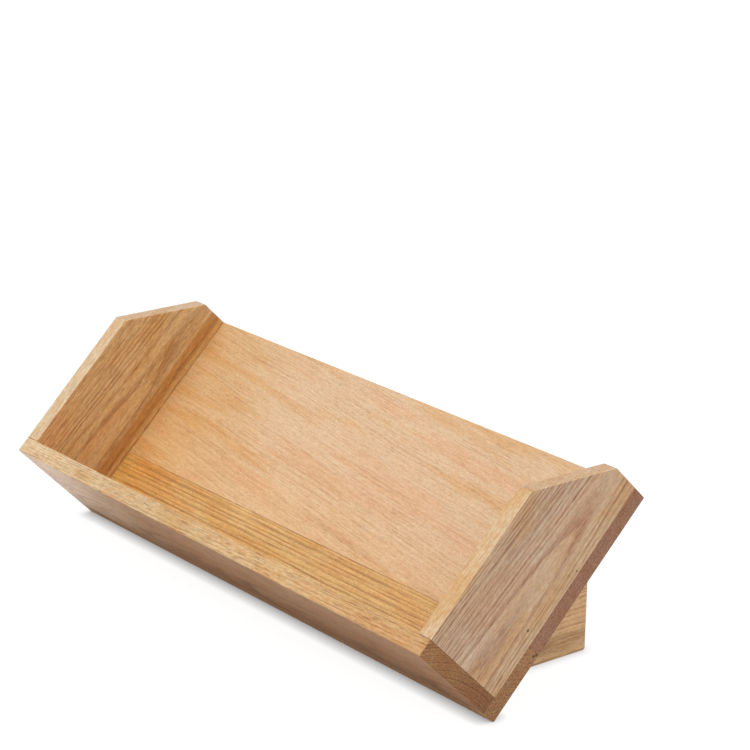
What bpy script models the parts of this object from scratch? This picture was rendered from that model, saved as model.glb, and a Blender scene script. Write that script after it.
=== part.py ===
"""A bottle display shelf in solid oak.

A trough of butt-jointed boards leans back by TILT on two triangular feet. The
bottom board meets the back at a right angle, so bottles stand on the one and
lean on the other, and a chamfered panel closes each end. The back is two
boards glued edge to edge. Blind fluted dowels and glue hold the other joints,
and nothing moves.

World frame: +X along the shelf, +Y to the back and +Z up, with the origin on
the table under the middle of the shelf.
Tray frame, on the empty tray_tilt: the same axes, leaned back by TILT. Its
origin is at mid length on the front edge of the bottom board's top face, so
the bottom board lies under z = 0 and the back stands behind y = SEAT_DEPTH.
"""

import math
from dataclasses import dataclass

import bmesh
import bpy
from mathutils import Matrix, Vector

# Driving sizes in metres
TILT = math.radians(45.0)
TRAY_LENGTH = 0.482
BOARD_THICKNESS = 0.0127
SEAT_DEPTH = 0.0785
BACK_HEIGHT = 0.1815
LOWER_BACK_WIDTH = 0.0535
PANEL_CHAMFER = 0.0535
FOOT_INSET = 0.0505

# Rounded corners of the outlines, and the finer easing of the arrises round each end face
EDGE_RADIUS = 0.0012
SOLE_RADIUS = 0.0018
SHOULDER_RADIUS = 0.0015
CREST_RADIUS = 0.003
FOOT_RADIUS = 0.002
ARRIS_EASE = 0.0008
JOINT_EASE = 0.0003
ARC_STEPS = 4
EASE_STEPS = 2
SMOOTH_ANGLE = math.radians(30.0)

# Glued joints: the boards keep a glue line between them, and dowels sit in blind holes
GLUE_LINE = 0.0003
DOWEL_DIAMETER = 0.006
DOWEL_LENGTH = 0.025
DOWEL_CHAMFER = 0.0008
DOWEL_FLUTES = 12
FLUTE_DEPTH = 0.0003
DOWEL_CLEARANCE = 0.0003
GLUE_POCKET = 0.001
FACE_HOLE_FLOOR = 0.0032
HOLE_SIDES = 24

# Dowels of each joint, and the distance from the joint's ends to its first and last dowel
SEAT_DOWEL_COUNT = 4
SEAT_DOWEL_END = 0.040
PANEL_BASE_DOWEL_COUNT = 2
PANEL_BASE_DOWEL_END = 0.024
PANEL_BACK_DOWEL_COUNT = 3
PANEL_BACK_DOWEL_END = 0.030
FOOT_DOWEL_COUNT = 3
FOOT_DOWEL_END = 0.036

# Linear colours of the pieces, and the roughness of oiled and of bare wood
BOTTOM_COLOUR = (0.58, 0.39, 0.21)
LOWER_BACK_COLOUR = (0.62, 0.34, 0.11)
UPPER_BACK_COLOUR = (0.68, 0.42, 0.21)
PANEL_COLOUR = (0.47, 0.30, 0.16)
FOOT_COLOUR = (0.50, 0.33, 0.15)
DOWEL_COLOUR = (0.72, 0.55, 0.36)
OILED_ROUGHNESS = 0.5
BARE_ROUGHNESS = 0.7

# Places that follow from the sizes, in the tray frame
HALF_LENGTH = TRAY_LENGTH / 2
HALF_BOARD = BOARD_THICKNESS / 2
BACK_REAR = SEAT_DEPTH + BOARD_THICKNESS
BACK_TOP = BACK_HEIGHT - BOARD_THICKNESS
SEAM = LOWER_BACK_WIDTH - BOARD_THICKNESS
PANEL_X = HALF_LENGTH - HALF_BOARD
FOOT_X = HALF_LENGTH - FOOT_INSET - HALF_BOARD

# Dowel halves and hole
DOWEL_IN_FACE = BOARD_THICKNESS - FACE_HOLE_FLOOR - GLUE_POCKET
DOWEL_IN_EDGE = DOWEL_LENGTH - DOWEL_IN_FACE
HOLE_RADIUS = DOWEL_DIAMETER / 2 + DOWEL_CLEARANCE
HOLE_LENGTH = DOWEL_LENGTH + 2 * GLUE_POCKET

# How far an arris of an end face is rounded: in the open, along a glued joint, or inside one
OPEN = ARRIS_EASE
JOINED = JOINT_EASE
INSIDE = 0.0

# Tray-frame directions
FORWARD = Vector((0, -1, 0))
BACKWARD = Vector((0, 1, 0))
UPWARD = Vector((0, 0, 1))


@dataclass
class Corner:
    """A corner of an outline in the YZ plane, and the side that runs on from it.

    radius rounds the corner. ease is how far that side's arris is rounded on
    the low-X end face and on the high-X end face.
    """

    y: float
    z: float
    radius: float
    ease: tuple


def clear_scene():
    """Removes every object of the open scene."""
    for obj in list(bpy.data.objects):
        bpy.data.objects.remove(obj, do_unlink=True)


def wood(name, colour, roughness):
    """Returns a wood material in one piece's own linear colour."""
    material = bpy.data.materials.new(name)
    material.use_nodes = True
    material.diffuse_color = (*colour, 1.0)
    shader = material.node_tree.nodes["Principled BSDF"]
    shader.inputs["Base Color"].default_value = (*colour, 1.0)
    shader.inputs["Roughness"].default_value = roughness
    shader.inputs["Metallic"].default_value = 0.0
    return material


def leaned(y, z):
    """Turns a YZ direction of the tray frame to the world frame."""
    return Vector((0, math.cos(TILT) * y + math.sin(TILT) * z, math.cos(TILT) * z - math.sin(TILT) * y))


def cut_back(radius):
    """Returns how far a right-angled corner of the leaning tray draws back when it is rounded."""
    return radius * (math.sin(TILT) + math.cos(TILT) - 1)


def tray_place():
    """Returns the tray's origin: lower rear edge on the table, and centred front to back."""
    front = leaned(0, -BOARD_THICKNESS).y
    rear = leaned(BACK_REAR, BACK_TOP).y
    sole = leaned(BACK_REAR, -BOARD_THICKNESS).z + cut_back(SOLE_RADIUS)
    return Vector((0, -(front + rear) / 2, -sole))


def rounded(corners):
    """Returns an outline's points, each with the ease of the side that leaves it.

    The corners run anticlockwise seen from +X. A round corner becomes an arc
    along which the ease changes in even steps from the side before it to its own.
    """
    points = []
    for before, corner, after in zip(corners[-1:] + corners[:-1], corners, corners[1:] + corners[:1]):
        here = Vector((corner.y, corner.z))
        if not corner.radius:
            points.append((here, corner.ease))
            continue
        back = (Vector((before.y, before.z)) - here).normalized()
        ahead = (Vector((after.y, after.z)) - here).normalized()
        half_angle = back.angle(ahead) / 2
        centre = here + (back + ahead).normalized() * corner.radius / math.sin(half_angle)
        spoke = here + back * corner.radius / math.tan(half_angle) - centre
        for step in range(ARC_STEPS + 1):
            turn = Matrix.Rotation((math.pi - 2 * half_angle) * step / ARC_STEPS, 2)
            share = (step + 1) / (ARC_STEPS + 1)
            ease = [old + (new - old) * share for old, new in zip(before.ease, corner.ease)]
            points.append((centre + turn @ spoke, ease))
    return points


def end_face(form, outline, x, end):
    """Draws the outline as a face at x, and returns its edges with their eases as bevel weights."""
    weight = form.edges.layers.float["bevel_weight_edge"]
    verts = [form.verts.new((x, point.x, point.y)) for point, _ in outline]
    form.faces.new(verts)
    edges = []
    for start, stop, (_, ease) in zip(verts, verts[1:] + verts[:1], outline):
        edge = form.edges.get((start, stop))
        edge[weight] = ease[end] / ARRIS_EASE
        edges.append(edge)
    return edges


def board(name, corners, width, material, location, parent=None):
    """Makes a board from its outline, width wide along X and centred on its object."""
    form = bmesh.new()
    form.edges.layers.float.new("bevel_weight_edge")
    outline = rounded(corners)
    low = end_face(form, outline, -width / 2, 0)
    high = end_face(form, outline, width / 2, 1)
    bmesh.ops.bridge_loops(form, edges=low + high)
    bmesh.ops.recalc_face_normals(form, faces=form.faces)
    obj = add_object(name, form, material, location, parent)
    easing = obj.modifiers.new("eased arrises", "BEVEL")
    easing.limit_method = "WEIGHT"
    easing.width = ARRIS_EASE
    easing.segments = EASE_STEPS
    easing.use_clamp_overlap = False
    return obj


def add_object(name, form, material, location, parent):
    """Turns a bmesh into a smooth-shaded object at its place under its parent."""
    mesh = bpy.data.meshes.new(name)
    form.to_mesh(mesh)
    form.free()
    mesh.materials.append(material)
    mesh.shade_smooth()
    mesh.set_sharp_from_angle(angle=SMOOTH_ANGLE)
    return place(name, mesh, location, parent)


def place(name, mesh, location, parent):
    """Links a mesh to the scene as an object at its place under its parent."""
    obj = bpy.data.objects.new(name, mesh)
    bpy.context.scene.collection.objects.link(obj)
    obj.parent = parent
    obj.location = location
    return obj


def guide(name, mesh, location, parent):
    """Places a cutting tool, which is drawn as wires and never rendered."""
    tool = place(name, mesh, location, parent)
    tool.hide_render = True
    tool.display_type = "WIRE"
    return tool


def slab(depth, height, lower_front, lower_rear, upper_rear, upper_front):
    """Returns the four corners of a board's cross-section, each given as its radius and ease."""
    places = ((0, 0), (depth, 0), (depth, height), (0, height))
    rounds = (lower_front, lower_rear, upper_rear, upper_front)
    return [Corner(y, z, radius, (ease, ease)) for (y, z), (radius, ease) in zip(places, rounds)]


def bottom_board(tray):
    """Makes the board that bottles stand on. Its rear edge butts against the back."""
    corners = slab(SEAT_DEPTH - GLUE_LINE, BOARD_THICKNESS,
                   (EDGE_RADIUS, OPEN), (0, JOINED), (0, JOINED), (0, OPEN))
    finish = wood("bottom_oak", BOTTOM_COLOUR, OILED_ROUGHNESS)
    return board("bottom_board", corners, TRAY_LENGTH, finish, (0, 0, -BOARD_THICKNESS), tray)


def back_board_lower(tray):
    """Makes the lower back board. Its lower rear edge is the one that rests on the table."""
    corners = slab(BOARD_THICKNESS, LOWER_BACK_WIDTH,
                   (0, OPEN), (SOLE_RADIUS, OPEN), (0, INSIDE), (0, JOINED))
    finish = wood("lower_back_oak", LOWER_BACK_COLOUR, OILED_ROUGHNESS)
    place_in_tray = (0, SEAT_DEPTH, -BOARD_THICKNESS)
    return board("back_board_lower", corners, TRAY_LENGTH, finish, place_in_tray, tray)


def back_board_upper(tray):
    """Makes the wide upper back board, glued edge to edge on the lower one."""
    corners = slab(BOARD_THICKNESS, BACK_TOP - SEAM - GLUE_LINE,
                   (0, INSIDE), (0, OPEN), (EDGE_RADIUS, OPEN), (0, JOINED))
    finish = wood("upper_back_oak", UPPER_BACK_COLOUR, OILED_ROUGHNESS)
    place_in_tray = (0, SEAT_DEPTH, SEAM + GLUE_LINE)
    return board("back_board_upper", corners, TRAY_LENGTH, finish, place_in_tray, tray)


def end_panel(side, direction, tray):
    """Makes one end panel: on the bottom board, butted against the back and chamfered in front."""
    def faces(outer, inner):
        return (outer, inner) if direction < 0 else (inner, outer)

    corners = [
        Corner(0, 0, 0, faces(JOINED, INSIDE)),
        Corner(SEAT_DEPTH, 0, 0, faces(JOINED, INSIDE)),
        Corner(SEAT_DEPTH, BACK_TOP, 0, faces(OPEN, OPEN)),
        Corner(PANEL_CHAMFER, BACK_TOP, CREST_RADIUS, faces(OPEN, OPEN)),
        Corner(0, BACK_TOP - PANEL_CHAMFER, SHOULDER_RADIUS, faces(OPEN, OPEN)),
    ]
    finish = wood(f"{side}_panel_oak", PANEL_COLOUR, OILED_ROUGHNESS)
    place_in_tray = (direction * PANEL_X, 0, 0)
    return board(f"end_panel_{side}", corners, BOARD_THICKNESS, finish, place_in_tray, tray)


def panel_bed(side, direction, tray):
    """Makes the tool that cuts an end panel's glue line into the boards that it meets.

    It is the block that holds the panel, grown by the glue line on every side,
    so the faces between the two panels end a glue line before each panel.
    """
    half = Vector((BOARD_THICKNESS, SEAT_DEPTH, BACK_TOP)) / 2 + Vector((GLUE_LINE, GLUE_LINE, GLUE_LINE))
    form = bmesh.new()
    bmesh.ops.create_cube(form, size=2, matrix=Matrix.Diagonal((*half, 1)))
    mesh = bpy.data.meshes.new("panel_bed")
    form.to_mesh(mesh)
    form.free()
    return guide(f"{side}_panel_bed", mesh, (direction * PANEL_X, SEAT_DEPTH / 2, BACK_TOP / 2), tray)


def foot(side, direction, tray):
    """Makes one triangular foot: flat on the table, upright behind, its slope glued to the back."""
    slope = tray.location + leaned(BACK_REAR + GLUE_LINE, BACK_TOP)
    heel = tray.location.y + leaned(BACK_REAR, BACK_TOP).y - cut_back(EDGE_RADIUS)
    height = slope.z + (heel - slope.y) / math.tan(TILT)
    corners = [
        Corner(-height * math.tan(TILT), 0, FOOT_RADIUS, (OPEN, OPEN)),
        Corner(0, 0, FOOT_RADIUS, (OPEN, OPEN)),
        Corner(0, height, FOOT_RADIUS, (JOINED, JOINED)),
    ]
    finish = wood(f"{side}_foot_oak", FOOT_COLOUR, OILED_ROUGHNESS)
    return board(f"foot_{side}", corners, BOARD_THICKNESS, finish, (direction * FOOT_X, heel, 0))


def dowel_mesh(material):
    """Makes the mesh that all dowels share: a fluted birch pin along Z with chamfered ends."""
    radius = DOWEL_DIAMETER / 2
    half = DOWEL_LENGTH / 2
    shoulder = half - DOWEL_CHAMFER
    rings = ((-half, DOWEL_CHAMFER), (-shoulder, 0), (shoulder, 0), (half, DOWEL_CHAMFER))
    form = bmesh.new()
    loops = []
    for z, inward in rings:
        verts = []
        for step in range(2 * DOWEL_FLUTES):
            reach = radius - inward - (FLUTE_DEPTH if step % 2 else 0)
            angle = math.pi * step / DOWEL_FLUTES
            verts.append(form.verts.new((reach * math.cos(angle), reach * math.sin(angle), z)))
        loops.append([form.edges.new(pair) for pair in zip(verts, verts[1:] + verts[:1])])
        if inward:
            form.faces.new(verts)
    for lower, upper in zip(loops, loops[1:]):
        bmesh.ops.bridge_loops(form, edges=lower + upper)
    bmesh.ops.recalc_face_normals(form, faces=form.faces)
    mesh = bpy.data.meshes.new("fluted_dowel")
    form.to_mesh(mesh)
    form.free()
    mesh.materials.append(material)
    mesh.shade_smooth()
    mesh.set_sharp_from_angle(angle=SMOOTH_ANGLE)
    return mesh


def hole_mesh():
    """Makes the round tool that drills both halves of a dowel's hole, with a glue pocket at each end."""
    form = bmesh.new()
    bmesh.ops.create_cone(form, cap_ends=True, segments=HOLE_SIDES, radius1=HOLE_RADIUS,
                          radius2=HOLE_RADIUS, depth=HOLE_LENGTH)
    mesh = bpy.data.meshes.new("dowel_hole")
    form.to_mesh(mesh)
    form.free()
    return mesh


def spread(first, last, count):
    """Returns count places, evenly spaced from first to last."""
    return [first + (last - first) * step / (count - 1) for step in range(count)]


def cuts_in(board_obj):
    """Returns the collection of the tools that one Boolean cuts out of a board."""
    cutting = board_obj.modifiers.get("joint cuts")
    if not cutting:
        cutting = board_obj.modifiers.new("joint cuts", "BOOLEAN")
        cutting.operation = "DIFFERENCE"
        cutting.solver = "EXACT"
        cutting.operand_type = "COLLECTION"
        cutting.collection = bpy.data.collections.new(f"{board_obj.name}_cuts")
    return cutting.collection


class Joinery:
    """Sets dowels across the glued joints and drills the holes that they sit in."""

    def __init__(self, tray):
        self.tray = tray
        self.pin = dowel_mesh(wood("birch_dowel", DOWEL_COLOUR, BARE_ROUGHNESS))
        self.drill = hole_mesh()

    def dowel(self, name, mouth, inward, boards):
        """Sets one dowel at mouth, on the joint's plane, with its long half inward in an edge or end."""
        centre = mouth + inward * (DOWEL_IN_EDGE - DOWEL_IN_FACE) / 2
        pin = place(name, self.pin, centre, self.tray)
        hole = guide(f"{name}_hole", self.drill, centre, self.tray)
        for obj in (pin, hole):
            obj.rotation_euler = inward.to_track_quat("Z", "Y").to_euler()
        for board_obj in boards:
            cuts_in(board_obj).objects.link(hole)

    def row(self, name, mouths, inward, boards_at):
        """Sets a row of numbered dowels. boards_at gives the boards that a mouth's hole enters."""
        for number, mouth in enumerate(mouths, 1):
            self.dowel(f"{name}_{number}", mouth, inward, boards_at(mouth))


def build():
    """Builds the shelf."""
    clear_scene()
    tray = bpy.data.objects.new("tray_tilt", None)
    bpy.context.scene.collection.objects.link(tray)
    tray.location = tray_place()
    tray.rotation_euler.x = -TILT

    bottom = bottom_board(tray)
    lower = back_board_lower(tray)
    upper = back_board_upper(tray)
    joinery = Joinery(tray)

    def back_boards(mouth):
        """Returns the back boards that a hole at this height enters, both where it crosses their seam."""
        reached = [lower] if mouth.z - HOLE_RADIUS < SEAM else []
        return reached + ([upper] if mouth.z + HOLE_RADIUS > SEAM else [])

    seat_end = HALF_LENGTH - SEAT_DOWEL_END
    mouths = [Vector((x, SEAT_DEPTH, -HALF_BOARD)) for x in spread(-seat_end, seat_end, SEAT_DOWEL_COUNT)]
    joinery.row("dowel_seat", mouths, FORWARD, lambda mouth: [bottom, lower])

    for side, direction in (("left", -1), ("right", 1)):
        panel = end_panel(side, direction, tray)
        bed = panel_bed(side, direction, tray)
        for board_obj in (bottom, lower, upper):
            cuts_in(board_obj).objects.link(bed)

        across = spread(PANEL_BASE_DOWEL_END, SEAT_DEPTH - PANEL_BASE_DOWEL_END, PANEL_BASE_DOWEL_COUNT)
        mouths = [Vector((direction * PANEL_X, y, 0)) for y in across]
        joinery.row(f"dowel_{side}_panel_base", mouths, UPWARD, lambda mouth: [bottom, panel])

        heights = spread(PANEL_BACK_DOWEL_END, BACK_TOP - PANEL_BACK_DOWEL_END, PANEL_BACK_DOWEL_COUNT)
        mouths = [Vector((direction * PANEL_X, SEAT_DEPTH, z)) for z in heights]
        joinery.row(f"dowel_{side}_panel_back", mouths, FORWARD, lambda mouth: back_boards(mouth) + [panel])

        wedge = foot(side, direction, tray)
        heights = spread(FOOT_DOWEL_END - BOARD_THICKNESS, BACK_TOP - FOOT_DOWEL_END, FOOT_DOWEL_COUNT)
        mouths = [Vector((direction * FOOT_X, BACK_REAR, z)) for z in heights]
        joinery.row(f"dowel_{side}_foot", mouths, BACKWARD, lambda mouth: back_boards(mouth) + [wedge])


build()
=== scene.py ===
"""Finishes the bottle display shelf as oiled oak in a plain white studio.

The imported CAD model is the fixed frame. Its seven boards are modelled again
with finer edges and closer joints, each in the oak that its own log gave, and
its dowels are dressed as birch.

World frame: +X along the shelf, +Y to the back and +Z up, in metres.
Tray frame: the same axes leaned back by the tilt, from the middle of the front
edge of the bottom board's top face. The boards of the trough are modelled
upright in it and then leaned. A board's own grain frame is in millimetres from
its centre: across the grain, through the board and along the grain.
"""

from __future__ import annotations

import logging
import math
from dataclasses import dataclass, field, replace
from enum import Enum
from typing import Callable

import bmesh
import bpy
from mathutils import Matrix, Vector

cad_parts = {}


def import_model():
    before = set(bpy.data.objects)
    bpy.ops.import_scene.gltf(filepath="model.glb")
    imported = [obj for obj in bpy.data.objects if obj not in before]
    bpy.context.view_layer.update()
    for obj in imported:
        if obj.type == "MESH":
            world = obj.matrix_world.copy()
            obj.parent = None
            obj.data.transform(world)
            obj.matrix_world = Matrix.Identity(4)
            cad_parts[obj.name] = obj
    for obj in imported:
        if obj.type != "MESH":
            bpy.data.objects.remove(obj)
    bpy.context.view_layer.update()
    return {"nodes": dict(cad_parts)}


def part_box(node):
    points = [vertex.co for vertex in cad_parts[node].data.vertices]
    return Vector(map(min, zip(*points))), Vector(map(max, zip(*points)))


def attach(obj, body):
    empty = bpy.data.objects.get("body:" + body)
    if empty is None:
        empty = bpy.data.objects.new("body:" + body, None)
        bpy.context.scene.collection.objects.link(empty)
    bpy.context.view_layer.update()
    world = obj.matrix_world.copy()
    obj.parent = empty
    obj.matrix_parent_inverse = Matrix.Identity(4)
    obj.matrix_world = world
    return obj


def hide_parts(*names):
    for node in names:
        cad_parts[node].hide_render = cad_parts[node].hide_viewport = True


LOG = logging.getLogger("bottle_shelf")
MM = 0.001
TILT = math.radians(45.0)
# How many steps go round an eased edge and round a corner's radius
ARRIS_STEPS, CORNER_STEPS = 3, 4
# Faces that meet more sharply than this keep their edge when shaded
SMOOTH_UP_TO = math.radians(35.0)
# Places nearer than this count as the same, and vertices nearer than the finer one are merged
SAME_PLACE, SAME_VERTEX = 0.01 * MM, 0.001 * MM
# A Mix node's colour sockets, which are known by number
MIX_A, MIX_B, MIX_RESULT = 6, 7, 2

Socket = bpy.types.NodeSocket
Stops = tuple[tuple[float, str], ...]
Inputs = dict[str | int, object]
EdgeTest = Callable[[Vector, Vector], bool]


class Sawing(Enum):
    """How a board lies to its grain: the axes across it, through it and along its grain.

    They are given in the frame that the board is modelled in. In a board that
    runs lengthwise, the one through it points to the front or up.
    """

    FLAT_LENGTHWISE = ((0, 1, 0), (0, 0, 1), (1, 0, 0))
    UPRIGHT_LENGTHWISE = ((0, 0, 1), (0, -1, 0), (1, 0, 0))
    UPRIGHT = ((0, 1, 0), (-1, 0, 0), (0, 0, 1))
    FRONT_TO_BACK = ((0, 0, 1), (1, 0, 0), (0, 1, 0))


class Side(Enum):
    """An end of the shelf, by its direction along it."""

    LEFT = -1
    RIGHT = 1

    @property
    def word(self) -> str:
        """The side as it stands in the names of pieces."""
        return self.name.lower()


def linear(code: str) -> tuple[float, float, float, float]:
    """Turns an sRGB colour to the linear colour that a shader takes.

    Args:
        code: The colour as a hex value, such as "#E0B07C".

    Returns:
        Linear red, green, blue and full alpha.
    """
    values = [int(code[start:start + 2], 16) / 255 for start in (1, 3, 5)]
    red, green, blue = (v / 12.92 if v <= 0.04045 else ((v + 0.055) / 1.055) ** 2.4 for v in values)
    return red, green, blue, 1.0


def even(code: str) -> Stops:
    """Makes the stops of a tint that is one colour all over."""
    return (0.0, code), (1.0, code)


def near(value: float, target: float) -> bool:
    """Says whether two places are the same to a hundredth of a millimetre."""
    return abs(value - target) < SAME_PLACE


def deselect_all() -> None:
    """Leaves no object selected."""
    if bpy.context.mode != "OBJECT":
        bpy.ops.object.mode_set(mode="OBJECT")
    bpy.ops.object.select_all(action="DESELECT")


def choose(obj: bpy.types.Object) -> None:
    """Makes one object the only selected and active one.

    Args:
        obj: The object.
    """
    deselect_all()
    obj.select_set(True)
    bpy.context.view_layer.objects.active = obj


def block(name: str, low: Vector, high: Vector) -> bpy.types.Object:
    """Adds a squared-up blank that a board is shaped from.

    Args:
        name: The piece's name.
        low: Its lowest corner.
        high: Its highest corner.

    Returns:
        The blank, with its size and place in its mesh.
    """
    deselect_all()
    bpy.ops.mesh.primitive_cube_add(size=1.0, location=(low + high) / 2, scale=high - low)
    obj = bpy.context.active_object
    obj.name = obj.data.name = name
    bpy.ops.object.transform_apply(location=True, rotation=True, scale=True)
    return obj


def select_edges(obj: bpy.types.Object, wanted: EdgeTest) -> None:
    """Selects, in edit mode, the edges whose two ends pass a test of place.

    Args:
        obj: The board being edited.
        wanted: Takes the edge's two ends and says whether it is wanted.
    """
    bpy.ops.mesh.select_mode(type="EDGE")
    bpy.ops.mesh.select_all(action="DESELECT")
    form = bmesh.from_edit_mesh(obj.data)
    for edge in form.edges:
        edge.select_set(wanted(edge.verts[0].co, edge.verts[1].co))
    bmesh.update_edit_mesh(obj.data)


def runs_at(y: float, z: float) -> EdgeTest:
    """Makes the test for edges that run along x at one place.

    Args:
        y: The edge's y.
        z: Its z.

    Returns:
        The test.
    """
    return lambda a, b: all(near(end.y, y) and near(end.z, z) for end in (a, b))


def ease(obj: bpy.types.Object, wanted: EdgeTest, width: float, segments: int = ARRIS_STEPS) -> None:
    """Rounds the edges that pass a test of place.

    Args:
        obj: The board.
        wanted: Takes an edge's two ends and says whether it is rounded.
        width: How far the rounding draws back from the edge along each face.
        segments: Steps across the rounding.
    """
    choose(obj)
    bpy.ops.object.mode_set(mode="EDIT")
    select_edges(obj, wanted)
    bpy.ops.mesh.bevel(offset=width, segments=segments, profile=0.5, affect="EDGES", clamp_overlap=False)
    bpy.ops.object.mode_set(mode="OBJECT")


def ease_together(obj: bpy.types.Object, rules: list[tuple[EdgeTest, float]]) -> None:
    """Rounds edges, each to its own width, in one go, so that unlike roundings close at a corner.

    Args:
        obj: The board.
        rules: Tests of place, each with the width of its rounding.
    """
    widest = max(width for _, width in rules)
    choose(obj)
    bpy.ops.object.mode_set(mode="EDIT")
    for wanted, width in rules:
        select_edges(obj, wanted)
        bpy.ops.transform.edge_bevelweight(value=width / widest)
    bpy.ops.object.mode_set(mode="OBJECT")
    rounding = obj.modifiers.new("easing", "BEVEL")
    rounding.limit_method = "WEIGHT"
    rounding.width = widest
    rounding.segments = ARRIS_STEPS
    bpy.ops.object.modifier_apply(modifier=rounding.name)


def saw(obj: bpy.types.Object, point: Vector, waste: Vector) -> None:
    """Saws a blank along a plane and drops the waste.

    Args:
        obj: The blank.
        point: A point on the saw cut.
        waste: The direction of the side that is dropped.
    """
    choose(obj)
    bpy.ops.object.mode_set(mode="EDIT")
    bpy.ops.mesh.select_all(action="SELECT")
    bpy.ops.mesh.bisect(plane_co=point, plane_no=waste, use_fill=True, clear_outer=True)
    bpy.ops.object.mode_set(mode="OBJECT")


def finish_mesh(obj: bpy.types.Object) -> None:
    """Cleans a board's mesh and shades it smooth over its roundings and flat between them.

    Args:
        obj: The board.
    """
    choose(obj)
    bpy.ops.object.mode_set(mode="EDIT")
    bpy.ops.mesh.select_all(action="SELECT")
    bpy.ops.mesh.remove_doubles(threshold=SAME_VERTEX)
    bpy.ops.mesh.normals_make_consistent(inside=False)
    bpy.ops.object.mode_set(mode="OBJECT")
    bpy.ops.object.shade_smooth_by_angle(angle=SMOOTH_UP_TO)
    weighting = obj.modifiers.new("flat faces", "WEIGHTED_NORMAL")
    weighting.keep_sharp = True
    bpy.ops.object.modifier_apply(modifier=weighting.name)


@dataclass(frozen=True)
class Graph:
    """The node tree of a material or of the world, and the one way that nodes are added to it."""

    tree: bpy.types.NodeTree

    def feed(self, node: bpy.types.Node, inputs: Inputs) -> None:
        """Sets or links a node's inputs.

        Args:
            node: The node.
            inputs: What goes into each input, by name or number: a value or another node's output.
        """
        for key, value in inputs.items():
            if isinstance(value, Socket):
                self.tree.links.new(value, node.inputs[key])
            else:
                node.inputs[key].default_value = value

    def add(self, kind: str, inputs: Inputs, stops: Stops = (), **settings: object) -> bpy.types.Node:
        """Adds a node with its settings and links.

        Args:
            kind: The node's type, without the ShaderNode that they all start with.
            inputs: What goes into each input, as feed takes it.
            stops: Places and colours of a ramp.
            settings: The node's own settings.

        Returns:
            The node.
        """
        node = self.tree.nodes.new(f"ShaderNode{kind}")
        for name, value in settings.items():
            setattr(node, name, value)
        for number, (place, code) in enumerate(stops):
            elements = node.color_ramp.elements
            element = elements.new(place) if number > 1 else elements[number]
            element.position = place
            element.color = linear(code)
        self.feed(node, inputs)
        return node


@dataclass(frozen=True)
class Fleck:
    """A pin knot or a chip, with its place in the board's grain frame and its radius in millimetres.

    A chip is a dark spot: partly torn wood and partly painted shade of its hollow.
    """

    place: tuple[float, float, float]
    radius: float
    tone: str = "#4A3A34"


@dataclass(frozen=True)
class OakFinish:
    """Planed and oiled oak as one log gave it. Lengths are in millimetres.

    The oil fills the pores of the earlywood and darkens them, so each ring
    starts as a broken porous line and clears to smooth latewood. Edge faces
    show the wood paler and blotchy, and end faces drink more oil and go dark.

    Colours: across tints the faces from one edge of the board to the other,
    edge the edge faces along the board, and end the end faces across it. front
    is laid over the board's front or upper face from one end to the other, and
    rear over its rear or lower face. On some boards across, front and rear
    also carry painted shade and painted light, as their finishes say. early
    and pore are laid over all as the darker side of a ring and an oil-filled
    pore, mottle as ochre and rosy clouds, and blotch as small spots. flecks
    are pin knots and chips, and a chip's dark spot is partly painted shade of
    its hollow. seed sets the patterns of one log apart from those of another.

    Figure: the rings are shells round a pith that lies pith away from the
    board's centre and drifts by taper for each millimetre along the grain,
    which draws the pointed figure of a flat-sawn board. ring is their spacing
    and phase shifts them all. fade is what stays of a ring's line where it is
    faintest, and waver is how far the lines sway. slant turns the grain in the
    board's face and in its edge, in degrees. A face counts as end grain from
    where its normal leans by end_from along the grain.

    Strengths, from 0 to about 1: ring_strength is that of the rings on faces,
    and edge_rings and end_rings are shares of it for edge and end faces.
    pore_strength is that of the pores in the earlywood, pore_spread the share
    of it between the rings, and edge_pores the share on edge faces.
    bundle_strength is that of the fibre bundles, and speck_strength that of
    the open vessels on end faces.

    Patterns are given as a size across the grain and one along it. Oak's fibre
    bundles and cut cells are finer than the picture shows, so bundle and grit
    are drawn at 0.6 to 0.8 mm, and so are its vessels, which are 0.2 to 0.3 mm
    wide. On end faces speck draws the open vessels as clusters of 1.3 mm. gap
    breaks the rings' lines, fading thins them over a longer stretch, ripple
    and sway bend them, and cloud and blotch_size are the sizes of the tints.
    """

    name: str
    across: Stops
    edge: Stops
    end: Stops
    early: str
    pore: str
    pith: tuple[float, float]
    seed: float
    front: Stops = even("#FFFFFF")
    rear: Stops = even("#FFFFFF")
    mottle: tuple[str, str] = ("#FAEEDA", "#FFF4EC")
    blotch: str = "#F4E4D0"
    flecks: tuple[Fleck, ...] = ()
    taper: tuple[float, float] = (0.0, 0.0)
    slant: tuple[float, float] = (0.0, 0.0)
    ring: float = 3.0
    phase: float = 0.0
    fade: float = 0.65
    waver: float = 3.0
    end_from: float = 0.3
    ring_strength: float = 0.5
    edge_rings: float = 0.35
    end_rings: float = 1.0
    pore_strength: float = 0.5
    pore_spread: float = 0.3
    edge_pores: float = 1.0
    bundle_strength: float = 0.3
    speck_strength: float = 0.5
    bundle: tuple[float, float] = (0.77, 14.0)
    grit: tuple[float, float] = (0.62, 2.6)
    vessel: tuple[float, float] = (0.77, 12.0)
    speck: tuple[float, float] = (1.3, 1.3)
    gap: tuple[float, float] = (1.0, 9.0)
    blotch_size: tuple[float, float] = (2.9, 5.0)
    fading: tuple[float, float] = (8.3, 71.0)
    ripple: tuple[float, float] = (9.0, 60.0)
    cloud: tuple[float, float] = (22.0, 71.0)
    sway: tuple[float, float] = (45.0, 143.0)


# How porous a ring is from its start to its end: it starts sharply and clears slowly
RING_PROFILE: Stops = (
    (0.0, "#808080"), (0.07, "#FFFFFF"), (0.28, "#E0E0E0"), (0.48, "#7C7C7C"), (0.72, "#181818"),
    (0.93, "#101010"), (1.0, "#808080"))


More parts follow.
